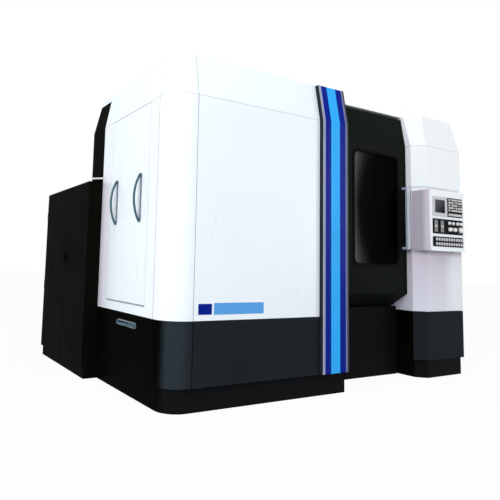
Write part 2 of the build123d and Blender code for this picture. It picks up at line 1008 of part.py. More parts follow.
# Hob slide with the spindle housing at one end and the outer support at the other
slide_front = head_front + slide_depth
slide_half = head_half + shift_travel + slide_overrun
spindle_x = slide_front + spindle_offset
web_half = housing_radius * 2 / 3
slide = block(
    head_front + run_gap,
    slide_front,
    y_axis - slide_half,
    y_axis + slide_half,
    head_height - slide_rise,
    head_height + slide_rise,
)
slide = chamfer(slide.edges().filter_by(Axis.X), slide_depth / 2)
slide -= prism_y(tongue(run_gap), y_axis - slide_half - cut, y_axis + slide_half + cut)
arbor_bore = arbor_radius + arbor_clear
for start, end, radius in (
    (-housing_end, -housing_start, housing_radius),
    (support_start, support_end, web_half),
):
    web = web_half if radius == housing_radius else radius
    slide += rod_y(spindle_x, head_height, y_axis + start, y_axis + end, radius)
    slide += block(
        slide_front,
        spindle_x,
        y_axis + start,
        y_axis + end,
        head_height - web,
        head_height + web,
    )
arbor_start = y_axis - housing_end + bearing_length
slide -= rod_y(spindle_x, head_height, arbor_start, y_axis + support_end + cut, arbor_bore)
add("hob_slide", slide)
motor_start = y_axis - housing_end - spindle_motor_length
spindle_motor = rod_y(spindle_x, head_height, motor_start, y_axis - housing_end, spindle_motor_radius)
motor_rim = spindle_motor.edges().filter_by(GeomType.CIRCLE).sort_by(Axis.Y)[0]
add("spindle_motor", chamfer(motor_rim, spindle_motor_radius / 6))
arbor_end = y_axis + support_end
arbor = rod_y(spindle_x, head_height, arbor_start + run_gap, arbor_end, arbor_radius)
spacers = Part()
for start, end in (
    (-housing_start + run_gap, -hob_length / 2),
    (hob_length / 2, support_start - run_gap),
):
    spacers += rod_y(spindle_x, head_height, y_axis + start, y_axis + end, hob_collar_radius)
add("hob_arbor", arbor + spacers)

# Hob: rows of rack teeth round a hub, divided by gashes
hob_teeth = int(hob_length / hob_pitch)
hob_root = hob_radius - hob_tooth_depth
tip_half = hob_tip_share * hob_pitch / 2
root_half = (1 - hob_root_share) * hob_pitch / 2
rack = [(arbor_radius, -hob_length / 2), (hob_root, -hob_length / 2)]
for n in range(hob_teeth):
    middle = (n - (hob_teeth - 1) / 2) * hob_pitch
    rack += [
        (hob_root, middle - root_half),
        (hob_radius, middle - tip_half),
        (hob_radius, middle + tip_half),
        (hob_root, middle + root_half),
    ]
rack += [(hob_root, hob_length / 2), (arbor_radius, hob_length / 2)]
hob = revolve(outline(*rack), Axis.Y)
gash_floor = hob_radius - hob_gash_depth
gash = block(
    gash_floor, hob_radius + cut, -hob_length, hob_length, -hob_gash_width / 2, hob_gash_width / 2
)
for n in range(hob_gashes):
    hob -= Rot(0, n * 360 / hob_gashes, 0) * gash
add("hob", Pos(spindle_x, y_axis, head_height) * hob)

# Rotary table with T-slots in its housing, its motor and the work arbor
pad_half = motor_size / 2 + bed_wall / 2
motor_z = (bed_top + table_housing_top) / 2
housing = rod_z(table_x, y_axis, bed_top, table_housing_top, table_housing_radius)
housing = chamfer(housing.edges().sort_by(Axis.Z)[-1], table_rim)
housing += block(
    table_x - pad_half,
    table_x + pad_half,
    y_axis,
    y_axis + table_housing_radius,
    motor_z - pad_half,
    motor_z + pad_half,
)
hub_floor = table_housing_top - table_hub_depth
hub_hole = table_hub_radius + spigot_clear
housing -= rod_z(table_x, y_axis, hub_floor - run_gap, top_height, hub_hole)
add("table_housing", housing)
motor_face = y_axis + table_housing_radius
table_drive = Rot(-90, 0, 0) * motor(motor_length)
add("servo_motors", Pos(table_x, motor_face, motor_z) * table_drive)
table_foot = table_housing_top + table_gap
table_top = table_housing_top + table_height
table = rod_z(table_x, y_axis, table_foot, table_top, table_radius)
table = chamfer(table.edges().sort_by(Axis.Z)[-1], table_rim / 8)
table += rod_z(table_x, y_axis, hub_floor, table_foot, table_hub_radius)
table -= rod_z(table_x, y_axis, hub_floor, table_top + cut, table_bore_radius)
slot = block(
    slot_start_radius, table_radius + cut, -slot_width / 2, slot_width / 2, -slot_depth, cut
) + block(
    slot_start_radius, table_radius + cut, -slot_foot / 2, slot_foot / 2, -slot_depth, -slot_depth / 2
)
for n in range(slot_count):
    table -= Pos(table_x, y_axis, table_top) * Rot(0, 0, n * 360 / slot_count) * slot
add("rotary_table", table)
mandrel_top = table_top + work_arbor_height
work_arbor = rod_z(table_x, y_axis, table_top, table_top + arbor_flange_height, arbor_flange_radius)
work_arbor += rod_z(table_x, y_axis, table_top - arbor_end_height, mandrel_top, work_arbor_radius)
threaded_end = rod_z(table_x, y_axis, mandrel_top, mandrel_top + arbor_end_height, arbor_end_radius)
countersink = Cone(0, arbor_end_radius, arbor_end_radius, align=(Align.CENTER, Align.CENTER, Align.MIN))
hole_depth = mandrel_top + arbor_end_height - arbor_end_radius / 2
work_arbor += threaded_end - Pos(table_x, y_axis, hole_depth) * countersink
add("work_arbor", work_arbor)

# Counter column with its guide rails, tailstock arm and live centre
counter_right = counter_left + counter_depth
counter = block(
    counter_left, counter_right, y_axis - counter_half, y_axis + counter_half, bed_top, counter_top
)
counter = chamfer(counter.edges().filter_by(Axis.Z), column_wall)
inner_half = counter_half - column_wall
counter -= block(
    counter_left + column_wall,
    counter_right - column_wall,
    y_axis - inner_half,
    y_axis + inner_half,
    bed_top - cut,
    counter_top - column_wall,
)
add("counter_column", counter)
tail_front = counter_left - carriage_gap - tail_carriage_depth
tail_face = counter_left - axial_rail_depth
tail = block(
    tail_front,
    counter_left - carriage_gap,
    y_axis - counter_half,
    y_axis + counter_half,
    tail_height - tail_carriage_height / 2,
    tail_height + tail_carriage_height / 2,
)
tail = chamfer(tail.edges().filter_by(Axis.X), tail_carriage_depth / 3)
tail_rail_bottom = tail_height - tail_travel - tail_carriage_height
counter_rails = Part()
for side in (-1, 1):
    y = y_axis + side * counter_rail_half
    half = rail_width / 2
    counter_rails += block(
        tail_face, counter_left, y - half, y + half, tail_rail_bottom, counter_top
    )
    tail -= block(
        tail_face - run_gap, counter_left, y - half - run_gap, y + half + run_gap, 0, top_height
    )
add("guide_rails", counter_rails)
arm_bottom = tail_height - tail_arm_height / 2
arm_side = outline(
    (table_x, arm_bottom),
    (tail_front, tail_height - tail_carriage_height / 3),
    (tail_front, tail_height + tail_carriage_height / 3),
    (table_x, arm_bottom + tail_arm_height),
)
nose_bottom = arm_bottom - nose_length
tail += prism_y(arm_side, y_axis - tail_arm_half, y_axis + tail_arm_half)
tail += rod_z(table_x, y_axis, arm_bottom, arm_bottom + tail_arm_height, tail_arm_half)
tail += rod_z(table_x, y_axis, nose_bottom, arm_bottom, nose_radius)
centre_hole = centre_radius + arbor_clear
tail -= rod_z(table_x, y_axis, nose_bottom - cut, nose_bottom + centre_shank + run_gap, centre_hole)
add("tailstock_arm", tail)
centre = rod_z(table_x, y_axis, nose_bottom, nose_bottom + centre_shank, centre_radius)
cone = Cone(0, centre_radius, centre_cone, align=(Align.CENTER, Align.CENTER, Align.MIN))
add("live_centre", centre + Pos(table_x, y_axis, nose_bottom - centre_cone) * cone)

# Electrical cabinet: a shell open to the left, with a mounting plate and drive modules
cabinet_start = side_end
cabinet_front = cabinet_door_depth - cabinet_overhang
cabinet_back = cabinet_depth - cabinet_overhang
cabinet = block(cabinet_front, cabinet_back, cabinet_start, cabinet_end, 0, cabinet_height)
cabinet -= block(
    cabinet_front - cut,
    cabinet_back - cabinet_sheet,
    cabinet_start + cabinet_sheet,
    cabinet_end - cabinet_sheet,
    cabinet_plinth,
    cabinet_height - cabinet_sheet,
)
add("cabinet_shell", cabinet)
plate_face = cabinet_back - 2 * cabinet_sheet
plate_start = cabinet_start + cabinet_plinth
plate_end = cabinet_end - cabinet_plinth
mounting_plate = block(
    plate_face,
    cabinet_back - cabinet_sheet,
    plate_start,
    plate_end,
    2 * cabinet_plinth,
    cabinet_height - cabinet_plinth,
)
add("drive_modules", mounting_plate)
drives = Part()
drive_pitch = (plate_end - plate_start) / drive_count
for n in range(drive_count):
    y = plate_start + n * drive_pitch
    for z in (3 * cabinet_plinth, cabinet_height - 2 * cabinet_plinth - drive_height):
        drives += block(
            plate_face - drive_depth, plate_face, y, y + drive_pitch * key_share, z, z + drive_height
        )
add("drive_modules", drives)

# Cabinet doors on pin hinges, and the turn latch on the front leaf
cabinet_face = -cabinet_overhang
cabinet_middle = (cabinet_start + cabinet_end) / 2
hinge_heights = (base_line + hinge_length, cabinet_height * 5 / 6)
hinge_x = cabinet_face + hinge_radius
pin_radius = hinge_radius / 2
hinges = Part()
hinge_y = {"front": cabinet_start - hinge_radius, "rear": cabinet_end + hinge_radius}
leaf_ends = {
    "front": (cabinet_start, cabinet_middle - cabinet_door_gap / 2),
    "rear": (cabinet_middle + cabinet_door_gap / 2, cabinet_end),
}
for leaf, (start, end) in leaf_ends.items():
    door = block(cabinet_face, cabinet_front - run_gap, start, end, cabinet_plinth, cabinet_height)
    inner_face = cabinet_face + cabinet_sheet
    door -= block(
        inner_face,
        cabinet_front,
        start + cabinet_door_margin,
        end - cabinet_door_margin,
        cabinet_plinth + cabinet_door_margin,
        cabinet_height - cabinet_door_margin,
    )
    axis_y = hinge_y[leaf]
    edge_y = start if leaf == "front" else end
    near = min(axis_y, edge_y)
    far = max(axis_y, edge_y)
    add(f"cabinet_door_{leaf}", door)
    for z in hinge_heights:
        middle = z + hinge_length / 2
        knuckle = rod_z(hinge_x, axis_y, middle + run_gap, z + hinge_length, hinge_radius)
        knuckle += block(cabinet_face, hinge_x, near, far, middle + run_gap, z + hinge_length)
        knuckle -= rod_z(hinge_x, axis_y, z, z + hinge_length + cut, pin_radius + screw_clear)
        add(f"cabinet_door_{leaf}", knuckle)
        hinges += rod_z(hinge_x, axis_y, z, middle, hinge_radius)
        hinges += rod_z(hinge_x, axis_y, middle, z + hinge_length, pin_radius)
        hinges += block(hinge_x, cabinet_front + hinge_length / 2, near, far, z, middle)
add("cabinet_hinges", hinges)
latch_z = cabinet_height * 3 / 5
latch_y = leaf_ends["front"][1] - cabinet_door_margin - latch_width
latch = Pos(latch_y, latch_z) * RectangleRounded(latch_width, latch_length, latch_width / 3)
lever = prism_x(latch, cabinet_face - latch_depth, cabinet_face - latch_depth / 2)
boss = rod_x(latch_y, latch_z, cabinet_face - latch_depth, cabinet_face - run_gap, latch_width * key_share)
add("cabinet_latch", lever + boss)

# Operation box, set on the recessed middle panel and its chamfer
box_right = box_left + box_width
box_top = box_bottom + box_height
middle_line = shift_line(console_plan, -console_recess)
chamfer_start = middle_line[1]
chamfer_end = middle_line[2]
chamfer_along = (box_left - chamfer_start[0]) / (chamfer_end[0] - chamfer_start[0])
box_left_back = chamfer_start[1] + chamfer_along * (chamfer_end[1] - chamfer_start[1])
box_plan = [
    (box_left, box_left_back),
    (box_left, box_front),
    (box_right, box_front),
    (box_right, chamfer_end[1]),
    chamfer_end,
]
operation_box = prism_z(outline(*box_plan), box_bottom, box_top)
front_edges = operation_box.edges().filter_by(Axis.Z).group_by(Axis.Y)[0]
operation_box = fillet(front_edges, box_round)
operation_box -= block(
    box_left + box_wall,
    box_right - box_wall,
    box_front + box_wall,
    chamfer_end[1] - box_wall,
    box_bottom + box_wall,
    box_top - box_wall,
)
operation_box += block(
    box_left, box_right, box_front - box_lip, box_front, box_bottom, box_bottom + box_lip_height
)
row_start = box_left + row_side
row_end = row_start + display_width + keyboard_gap + keyboard_width
top_row = box_top - row_top
middle_row = top_row - display_height - row_gap
lower_row = middle_row - middle_height - row_gap
plate_front = box_front - plate


def key_grid(x0, x1, z0, z1, columns, rows):
    """Rows of square keys on a plate between two corners."""
    keys = Part()
    wide = (x1 - x0) / columns
    tall = (z1 - z0) / rows
    for i in range(columns):
        for k in range(rows):
            x = x0 + (i + (1 - key_share) / 2) * wide
            z = z0 + (k + (1 - key_share) / 2) * tall
            keys += block(
                x,
                x + key_share * wide,
                plate_front - key_height,
                plate_front,
                z,
                z + key_share * tall,
            )
    return keys


display_end = row_start + display_width
bezel_front = plate_front - plate
display = block(row_start, display_end, bezel_front, box_front, top_row - display_height, top_row)
screen_x = row_start + (display_width - screen_width) / 2
screen_z = top_row - display_height / 2 - screen_height / 2
screen = block(
    screen_x, screen_x + screen_width, plate_front, box_front, screen_z, screen_z + screen_height
)
screen_well = Pos(0, -plate) * screen + screen
add("display_bezel", display - screen_well)
add("display_screen", screen)
keyboard_start = display_end + keyboard_gap
keyboard = block(
    keyboard_start, row_end, plate_front, box_front, top_row - display_height, top_row
)
keyboard += key_grid(keyboard_start, row_end, top_row - display_height, top_row, key_columns, key_rows)
add("control_plates", keyboard)
key_strip = block(row_start, row_end, plate_front, box_front, lower_row - lower_height, lower_row)
key_strip += key_grid(
    row_start, row_end, lower_row - lower_height, lower_row, lower_key_columns, 2
)
add("control_plates", key_strip)
control_plate = block(
    row_start, row_end, plate_front, box_front, middle_row - middle_height, middle_row
)
softkey_z = middle_row - (middle_height - softkey_height) / 2
for n in range(2):
    x = row_start + softkey_width / 2 + n * 2 * softkey_width
    control_plate += block(
        x, x + softkey_width, plate_front - key_height, plate_front, softkey_z - softkey_height, softkey_z
    )

# Push buttons, override knobs and the stop button in the control plate
control_start = row_start + display_width
control_width = row_end - control_start
upper_z = middle_row - middle_height / 4
under_z = middle_row - middle_height * 2 / 3
button_shares = (0.12, 0.36, 0.64, 0.87)
knob_shares = (0.14, 0.44)
stop_share = 0.82
button_reach = box_front + box_wall + button_travel
holes = Part()
for n, share in enumerate(button_shares):
    x = control_start + share * control_width
    cap = rod_y(x, upper_z, plate_front - button_height, button_reach, button_radius)
    holes += rod_y(x, upper_z, plate_front - cut, button_reach, button_radius + button_clear)
    add(f"push_button_{n + 1}", cap)
for n, share in enumerate(knob_shares):
    x = control_start + share * control_width
    knob = rod_y(x, under_z, plate_front - knob_height, plate_front - run_gap, knob_radius)
    grip = block(
        x - knob_radius / 4,
        x + knob_radius / 4,
        plate_front - knob_height - knob_radius / 2,
        plate_front - knob_height,
        under_z - knob_radius * key_share,
        under_z + knob_radius * key_share,
    )
    add(f"override_knob_{n + 1}", knob + grip)
stop_x = control_start + stop_share * control_width
stop = rod_y(stop_x, under_z, plate_front - stop_height, button_reach, stop_stem_radius)
stop_head_back = plate_front - stop_travel - run_gap
stop_head = rod_y(stop_x, under_z, plate_front - stop_height, stop_head_back, stop_radius)
stop_rim = stop_head.edges().filter_by(GeomType.CIRCLE).sort_by(Axis.Y)[0]
add("stop_button", stop + fillet(stop_rim, stop_radius / 4))
holes += rod_y(stop_x, under_z, plate_front - cut, button_reach, stop_stem_radius + button_clear)
add("control_plates", control_plate - holes)
add("operation_box", operation_box - holes)

# The origin is under the middle of the whole machine, on the floor
bounds = Compound([body for group in solids.values() for body in group]).bounding_box()
shift = Pos(-bounds.center().X, -bounds.center().Y, -bounds.min.Z)
os.makedirs("parts", exist_ok=True)
for name, group in solids.items():
    placed = [shift * body for body in group]
    export_step(placed[0] if len(placed) == 1 else Compound(placed), f"parts/{name}.step")
print(len(solids), "nodes; box", bounds.size)
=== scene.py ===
import math

import bmesh
import bpy
from mathutils import Matrix, Vector


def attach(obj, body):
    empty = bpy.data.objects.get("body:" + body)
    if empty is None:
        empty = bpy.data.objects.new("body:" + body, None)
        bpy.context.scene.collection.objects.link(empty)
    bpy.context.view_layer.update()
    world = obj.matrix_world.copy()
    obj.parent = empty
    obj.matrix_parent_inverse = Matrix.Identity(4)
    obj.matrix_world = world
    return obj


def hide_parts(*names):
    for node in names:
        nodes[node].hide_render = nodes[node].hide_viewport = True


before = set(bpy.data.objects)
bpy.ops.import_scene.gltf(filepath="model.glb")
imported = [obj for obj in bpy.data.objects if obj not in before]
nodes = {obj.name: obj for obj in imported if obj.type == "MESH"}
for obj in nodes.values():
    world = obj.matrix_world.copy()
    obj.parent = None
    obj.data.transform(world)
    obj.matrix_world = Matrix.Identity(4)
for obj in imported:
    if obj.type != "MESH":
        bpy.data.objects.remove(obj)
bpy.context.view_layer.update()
scene = bpy.context.scene

# The drawing's lengths are millimetres from the front left corner of the left enclosure
ORIGIN_X = 1596.5
ORIGIN_Y = 1301.25
MM = 0.001
X, Y, Z = range(3)
UPWARD = Vector((0, 0, 1))
FRONTWARD = Vector((0, -1, 0))
REARWARD = Vector((0, 1, 0))


def at(x, y, z):
    """A point of the drawing in the frame, in metres."""
    return Vector(((x - ORIGIN_X) * MM, (y - ORIGIN_Y) * MM, z * MM))


def on(axis, place):
    """A place of the drawing along one axis of the frame, in metres."""
    return at(place, place, place)[axis]


# Places on the operation box. Plates and fields of keys are limits along X and Z
BOX_FRONT = -24
PLATE_FRONT = -28
KEYBOARD = (2982, 3214, 1512, 1696)
LETTER_KEYS = (2992, 3128, 1562, 1690)
NUMBER_KEYS = (3134, 3206, 1562, 1690)
SOFT_KEYS = (2992, 3206, 1518, 1548)
CONTROL_PLATE = (2756, 3214, 1344, 1486)
KEY_STRIP = (2756, 3214, 1224, 1318)
STRIP_KEYS = (2790, 3206, 1228, 1314)
BUTTON_XS = (3001.0, 3059.1, 3126.9, 3182.5)
BUTTON_Z = 1450.5
DIAL_XS = (3005.9, 3078.5)
DIAL_Z = 1391.3
STOP_X = 3170.4
BUTTON_NAMES = tuple(f"push_button_{i + 1}" for i in range(len(BUTTON_XS)))
KNOB_NAMES = tuple(f"override_knob_{i + 1}" for i in range(len(DIAL_XS)))

# The colour sockets of a mix node
COLOUR_A, COLOUR_B, COLOUR_OUT = 6, 7, 2


class Tree:
    """A node tree with short calls for the nodes in use here.

    A socket or a plain value goes in, and a socket comes out."""

    def __init__(self, tree):
        self.nodes = tree.nodes
        self.links = tree.links

    def put(self, value, socket):
        """Sets a number or a colour on a socket, or links another socket to it."""
        if isinstance(value, (int, float)):
            socket.default_value = value
        elif isinstance(value, tuple):
            socket.default_value = (*value, 1)
        else:
            self.links.new(value, socket)

    def math(self, operation, *values):
        node = self.nodes.new("ShaderNodeMath")
        node.operation = operation
        for value, socket in zip(values, node.inputs):
            self.put(value, socket)
        return node.outputs[0]

    def distance(self, value, middle):
        return self.math("ABSOLUTE", self.math("SUBTRACT", value, middle))

    def mix(self, factor, a, b, blend="MIX"):
        """Mixes two colours."""
        node = self.nodes.new("ShaderNodeMix")
        node.data_type = "RGBA"
        node.blend_type = blend
        self.put(factor, node.inputs["Factor"])
        self.put(a, node.inputs[COLOUR_A])
        self.put(b, node.inputs[COLOUR_B])
        return node.outputs[COLOUR_OUT]

    def ramp(self, value, span, limits=(0.0, 1.0)):
        """Takes a span of values to new limits, and holds what lies beyond it."""
        node = self.nodes.new("ShaderNodeMapRange")
        for name, number in zip(("From Min", "From Max", "To Min", "To Max"), (*span, *limits)):
            node.inputs[name].default_value = number
        self.put(value, node.inputs["Value"])
        return node.outputs["Result"]

    def noise(self, scale, detail=3.0, rough=0.55, squash=(1, 1, 1)):
        """Noise over the piece, drawn out along the axes with a small squash."""
        mapping = self.nodes.new("ShaderNodeMapping")
        mapping.inputs["Scale"].default_value = squash
        place = self.nodes.new("ShaderNodeTexCoord").outputs["Object"]
        self.put(place, mapping.inputs["Vector"])
        node = self.nodes.new("ShaderNodeTexNoise")
        self.put(scale, node.inputs["Scale"])
        self.put(detail, node.inputs["Detail"])
        self.put(rough, node.inputs["Roughness"])
        self.put(mapping.outputs["Vector"], node.inputs["Vector"])
        return node.outputs["Fac"]

    def part_of(self, vector, axis):
        split = self.nodes.new("ShaderNodeSeparateXYZ")
        self.put(vector, split.inputs["Vector"])
        return split.outputs[axis]

    def along(self, axis):
        """The place on the piece along an axis, in metres."""
        return self.part_of(self.nodes.new("ShaderNodeTexCoord").outputs["Object"], axis)

    def facing(self, axis):
        """How much a face looks along an axis, from -1 to 1."""
        return self.part_of(self.nodes.new("ShaderNodeNewGeometry").outputs["True Normal"], axis)

    def seen(self):
        """1 for what the camera, mirrors and glass show, and 0 for what gives light."""
        rays = self.nodes.new("ShaderNodeLightPath").outputs
        direct = self.math("MAXIMUM", rays["Is Camera Ray"], rays["Is Glossy Ray"])
        return self.math("MAXIMUM", direct, rays["Is Transmission Ray"])

    def bump(self, shader, height, strength, depth):
        node = self.nodes.new("ShaderNodeBump")
        self.put(strength, node.inputs["Strength"])
        self.put(depth * MM, node.inputs["Distance"])
        self.put(height, node.inputs["Height"])
        self.put(node.outputs["Normal"], shader["Normal"])


# Kinds of material. A span is the part of a noise's values that shows
CLOUD_SPAN = (0.35, 0.7)
MARK_SPAN = (0.3, 0.7)
MARK_STRENGTH = 0.3
SMEAR_SPAN = (0.3, 0.75)
SMEAR_SHARES = (0.82, 1.2)
PEEL_STRENGTH = 0.35
COAT_ROUGH = 0.08
DUST = (0.32, 0.31, 0.29)
DUST_TOP = 320
LEFTWARD_SPAN = (-0.2, -0.7)
WEAR_SPAN = (0.12, 0.4)
METAL_SHARES = (0.75, 1.25)
METAL_DEPTH = 0.06
PLASTIC_SHARES = (0.85, 1.15)
PLASTIC_SPREAD = 0.1


def new_material(name):
    """A material, its tree and the inputs of its shader."""
    material = bpy.data.materials.new(name)
    material.use_nodes = True
    tree = Tree(material.node_tree)
    return material, tree, tree.nodes["Principled BSDF"].inputs


def darker(colour, spread):
    return tuple(c * (1 - spread) for c in colour)


def shares_of(value, shares):
    return tuple(value * share for share in shares)


def paint(name, colour, rough=0.35, spread=0.06, peel=500.0, peel_depth=0.12, specular=0.5,
          coat=0.0, dust=0.0, tints=(), turned=None, turned_specular=None, side_shade=None,
          zones=(), lines=()):
    """Sprayed paint: faint cloudiness, orange peel, uneven gloss and dust towards the floor.

    Places and depths are in the drawing's millimetres.
    Each tint is a colour that holds before a start along an axis and has gone by its end.
    Turned is a colour painted as light and shade on the faces that look along an axis, with its own
    specular if given.
    A painted shade can dim the faces that look to the left.
    Each zone is a colour that comes in along two axes together.
    Each line is a colour across an axis at a place, such as painted shade along a crease."""
    material, tree, shader = new_material(name)

    def reached(axis, start, end):
        return tree.ramp(tree.along(axis), (on(axis, start), on(axis, end)))

    cloud = tree.ramp(tree.noise(scale=2.3, detail=4.0), CLOUD_SPAN)
    out = tree.mix(cloud, colour, darker(colour, spread))
    for tint, *reach in tints:
        out = tree.mix(reached(*reach), tint, out)
    if turned:
        tint, axis, *span = turned
        out = tree.mix(tree.ramp(tree.facing(axis), span), out, tint)
    if side_shade:
        out = tree.mix(tree.ramp(tree.facing(X), LEFTWARD_SPAN), out, side_shade, "MULTIPLY")
    for tint, first, second in zones:
        out = tree.mix(tree.math("MULTIPLY", reached(*first), reached(*second)), out, tint)
    for tint, axis, middle, half in lines:
        off = tree.distance(tree.along(axis), on(axis, middle))
        out = tree.mix(tree.math("LESS_THAN", off, half * MM), out, tint)
    if dust:
        speck = tree.math("MULTIPLY", tree.noise(scale=38.0, detail=5.0, rough=0.7), dust)
        out = tree.mix(tree.math("MULTIPLY", reached(Z, DUST_TOP, 0), speck), out, DUST)
    tree.put(out, shader["Base Color"])

    smear = tree.noise(scale=7.0, detail=5.0, rough=0.65, squash=(1, 1, 0.3))
    tree.put(tree.ramp(smear, SMEAR_SPAN, shares_of(rough, SMEAR_SHARES)), shader["Roughness"])
    tree.put(specular, shader["Specular IOR Level"])
    if turned_specular:
        axis, *span = turned[1:]
        gloss = tree.ramp(tree.facing(axis), span, (specular, turned_specular))
        tree.put(gloss, shader["Specular IOR Level"])
    tree.put(coat, shader["Coat Weight"])
    tree.put(COAT_ROUGH, shader["Coat Roughness"])
    tree.bump(shader, tree.noise(scale=peel, detail=2.0), PEEL_STRENGTH, peel_depth)
    return material


def metal(name, colour, rough, squash=(1, 1, 1), spread=0.12):
    """Bare metal with fine machining marks drawn out along an axis."""
    material, tree, shader = new_material(name)
    marks = tree.noise(scale=260.0, rough=0.6, squash=squash)
    cloud = tree.noise(scale=6.0, detail=4.0)
    wear = tree.ramp(tree.math("MULTIPLY", marks, cloud), WEAR_SPAN)
    tree.put(tree.mix(wear, darker(colour, spread), colour), shader["Base Color"])
    tree.put(tree.ramp(marks, MARK_SPAN, shares_of(rough, METAL_SHARES)), shader["Roughness"])
    tree.put(1.0, shader["Metallic"])
    tree.bump(shader, marks, MARK_STRENGTH, METAL_DEPTH)
    return material


def plastic(name, colour, rough=0.45, grain=1400.0, depth=0.05, specular=0.4):
    """Moulded plastic with a fine spark-eroded grain."""
    material, tree, shader = new_material(name)
    fine = tree.noise(scale=grain, detail=2.0)
    cloud = tree.ramp(tree.noise(scale=12.0), CLOUD_SPAN)
    tree.put(tree.mix(cloud, colour, darker(colour, PLASTIC_SPREAD)), shader["Base Color"])
    tree.put(tree.ramp(fine, MARK_SPAN, shares_of(rough, PLASTIC_SHARES)), shader["Roughness"])
    tree.put(specular, shader["Specular IOR Level"])
    tree.bump(shader, fine, MARK_STRENGTH, depth)
    return material


# Paints
WHITE = (0.848, 0.916, 0.972)
# Painted shade along the crease of the fold
CREASE_SHADE = (0.60, 0.64, 0.67)
# Painted shade on the left-facing flat of the charcoal base
LEFT_FACE_SHADE = (0.0022, 0.0026, 0.0022)
REAR_BLACK = (0.032, 0.034, 0.033)
NAVY = (0.002, 0.014, 0.26)
FOLD = 2200
HOOD_CAP = 2454
PANEL_FINISH = {
    "colour": WHITE, "rough": 0.32, "spread": 0.02, "coat": 0.12,
    "lines": ((CREASE_SHADE, Z, FOLD, 2.6),),
}
# Black paint: its own black, REAR_BLACK, shows on faces that look rearward, and the other faces are
# painted darker as shade
BLACK_FINISH = {
    "colour": (0.0042, 0.0048, 0.0034), "rough": 0.5, "spread": 0.25, "dust": 0.006,
    "specular": 0.002, "turned": (REAR_BLACK, Y, 0.3, 0.8), "turned_specular": 0.1,
}
FILM_FINISH = {"rough": 0.28, "peel": 300.0, "peel_depth": 0.05}

white_paint = paint("white_paint", **PANEL_FINISH)
# Left side panel: painted reflection and shade of the black cabinet, lavender and darker towards
# it, behind Y 1090 and below the cabinet's top
side_paint = paint(
    "side_paint", **PANEL_FINISH,
    zones=(
        ((0.83, 0.825, 0.905), (Y, 1090, 1150), (Z, 1800, 1700)),
        ((0.68, 0.65, 0.75), (Y, 1200, 1290), (Z, 1800, 1700)),
    ))
# Console covers: painted shade turns them lavender below the operation box, darkest just under it
# and paler further down, except on faces that look right; a painted lighter patch lies to the lower
# right, and a painted shadow lies just under the box
console_paint = paint(
    "console_paint", (0.88, 0.93, 0.96), rough=0.34, spread=0.02, coat=0.1,
    tints=(
        ((0.60, 0.55, 0.65), Z, 1120, 1300),
        ((0.69, 0.70, 0.80), Z, 680, 1120),
    ),
    turned=(WHITE, X, 0.4, 0.8),
    zones=(
        ((0.80, 0.82, 0.89), (X, 3040, 3190), (Z, 1360, 1280)),
        ((0.34, 0.31, 0.37), (Z, 1128, 1176), (Z, 1184, 1183.5)),
    ),
    lines=((CREASE_SHADE, Z, FOLD, 3.0),))
# Operation box: painted shade on faces that look left, and darker painted shade behind Y 68 where
# it stands in the console's recess
box_paint = paint(
    "box_paint", (0.87, 0.92, 0.95), rough=0.34, spread=0.02, coat=0.1,
    side_shade=(0.87, 0.77, 0.86),
    zones=(((0.48, 0.44, 0.52), (Y, 8, 68), (Z, 1000, 1010)),))
# Door handle: painted shade on the faces that look left
handle_paint = paint(
    "handle_paint", (0.60, 0.63, 0.72), rough=0.3, spread=0.04, specular=0.3,
    side_shade=(0.55, 0.62, 0.68))
# Charcoal base: a painted highlight on the rounded corner, and painted shade on the left-facing
# flat, on faces that look left, on the plinth below Z 160 and behind Y 330
charcoal_paint = paint(
    "charcoal_paint", (0.0148, 0.0190, 0.0230), rough=0.34, spread=0.15, dust=0.012,
    specular=0.014,
    tints=(
        ((0.021, 0.030, 0.037), X, 130, 206),
        (LEFT_FACE_SHADE, X, 8, 42),
        ((0.0045, 0.0055, 0.0065), Z, 160, 166),
        ((0.006, 0.0065, 0.006), Y, 330, 300),
    ),
    turned=((0.0016, 0.0020, 0.0014), X, -0.85, -0.98), turned_specular=0.001)
# A darker copy of the charcoal paint for the lower cover on the left side, as painted shade
shaded_side_charcoal = paint(
    "shaded_side_charcoal", (0.0018, 0.0022, 0.0015), rough=0.45, spread=0.2, dust=0.004, specular=0.002)
black_paint = paint("black_paint", **BLACK_FINISH)
rear_paint = paint(
    "rear_paint", **BLACK_FINISH,
    zones=((WHITE, (Z, HOOD_CAP, HOOD_CAP + 1), (X, 600, 590)),))
door_paint = paint(
    "door_paint", (0.0058, 0.0082, 0.0060), rough=0.45, spread=0.2, specular=0.02)
frame_paint = paint("frame_paint", (0.16, 0.17, 0.18), rough=0.5, spread=0.15, dust=0.1)
casting_paint = paint(
    "casting_paint", (0.42, 0.46, 0.47), rough=0.45, spread=0.12, peel=160.0, peel_depth=0.5)
motor_paint = paint(
    "motor_paint", (0.02, 0.02, 0.022), rough=0.48, spread=0.2, peel=240.0, peel_depth=0.3)
navy_film = paint("navy_film", NAVY, spread=0.08, specular=0.04, **FILM_FINISH)
sky_film = paint("sky_film", (0.10, 0.36, 0.78), spread=0.06, specular=0.1, **FILM_FINISH)

# Metals, rubbers and plastics
RUBBER_FINISH = {"rough": 0.7, "grain": 700.0, "depth": 0.2}
GLOSSY_FINISH = {"rough": 0.25, "grain": 900.0, "depth": 0.02}

